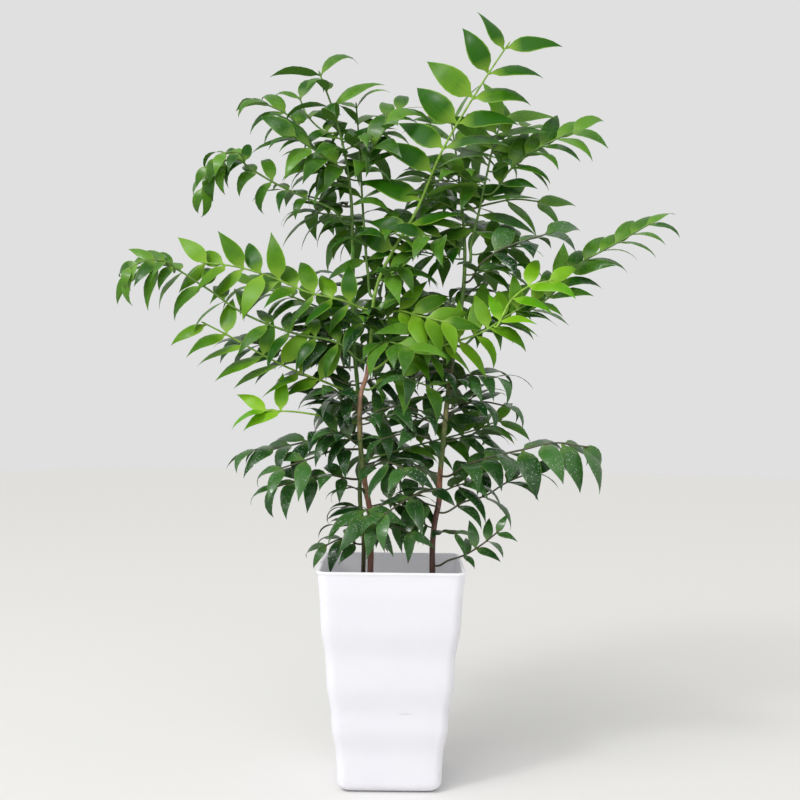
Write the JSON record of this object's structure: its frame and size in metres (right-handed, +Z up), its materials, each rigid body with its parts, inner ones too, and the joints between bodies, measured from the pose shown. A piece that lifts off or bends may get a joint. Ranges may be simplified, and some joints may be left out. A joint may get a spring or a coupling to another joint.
{
  "type": "potted nagi tree",
  "caption": "Young leafy nagi tree with upright stems and flat sprays of glossy leaves, in a tall square tapered white plastic pot filled with soil.",
  "frame": {"origin": "middle of the pot's underside, where it stands", "axes": "+Z up along the pot and the stems, -Y towards the front of the plant, where most leaves face, +X to the viewer's right"},
  "size_m": [0.6618, 0.2645, 0.921],
  "materials": {
    "pot": "satin",
    "soil": "matte",
    "green_bark": "matte",
    "red_bark": "matte",
    "dark_bark": "matte",
    "leaf_young": "satin",
    "leaf_light": "satin",
    "leaf_mid": "gloss",
    "leaf_dark": "gloss"
  },
  "bodies": {
    "root": {"pot": "pot", "soil": "soil", "stem_left_green": "green_bark", "stem_left_brown": "red_bark", "stem_right_brown": "dark_bark", "top_left": "leaf_mid", "leader": "leaf_mid", "top_right": "leaf_mid", "shoot_up_left": "leaf_mid", "shoot_right": "leaf_mid", "spray_left_arching": "leaf_mid", "spray_left_row": "leaf_mid", "spray_left_far": "leaf_mid", "spray_left_light": "leaf_mid", "spray_left_sprig": "leaf_young", "spray_left_dark": "leaf_mid", "spray_left_dark_front": "leaf_mid", "spray_left_low": "leaf_dark", "spray_left_rim": "leaf_dark", "spray_top_left": "leaf_mid", "spray_top_back_left": "leaf_dark", "spray_top_outer": "leaf_mid", "spray_top_front": "leaf_mid", "spray_top_middle": "leaf_mid", "spray_right_top": "leaf_mid", "spray_right_upper": "leaf_mid", "spray_right_back": "leaf_mid", "spray_right_glossy": "leaf_mid", "spray_right_far": "leaf_mid", "spray_right_young": "leaf_young", "spray_right_light": "leaf_mid", "spray_middle_top": "leaf_mid", "spray_middle": "leaf_light", "spray_middle_front": "leaf_mid", "spray_middle_right": "leaf_dark", "spray_middle_low": "leaf_mid", "spray_centre": "leaf_dark", "spray_centre_low": "leaf_dark", "spray_right_middle": "leaf_dark", "spray_right_lower": "leaf_dark", "spray_right_crossing": "leaf_mid", "spray_right_low": "leaf_mid", "spray_right_thin": "leaf_mid", "spray_right_rim": "leaf_mid", "spray_front_right": "leaf_dark", "spray_front": "leaf_dark", "spray_front_low": "leaf_dark", "spray_front_rim": "leaf_dark", "spray_back_left": "leaf_dark", "spray_back_top": "leaf_mid", "spray_back_right": "leaf_dark", "spray_back_middle": "leaf_dark", "spray_back_low": "leaf_dark"}
  },
  "joints": []
}
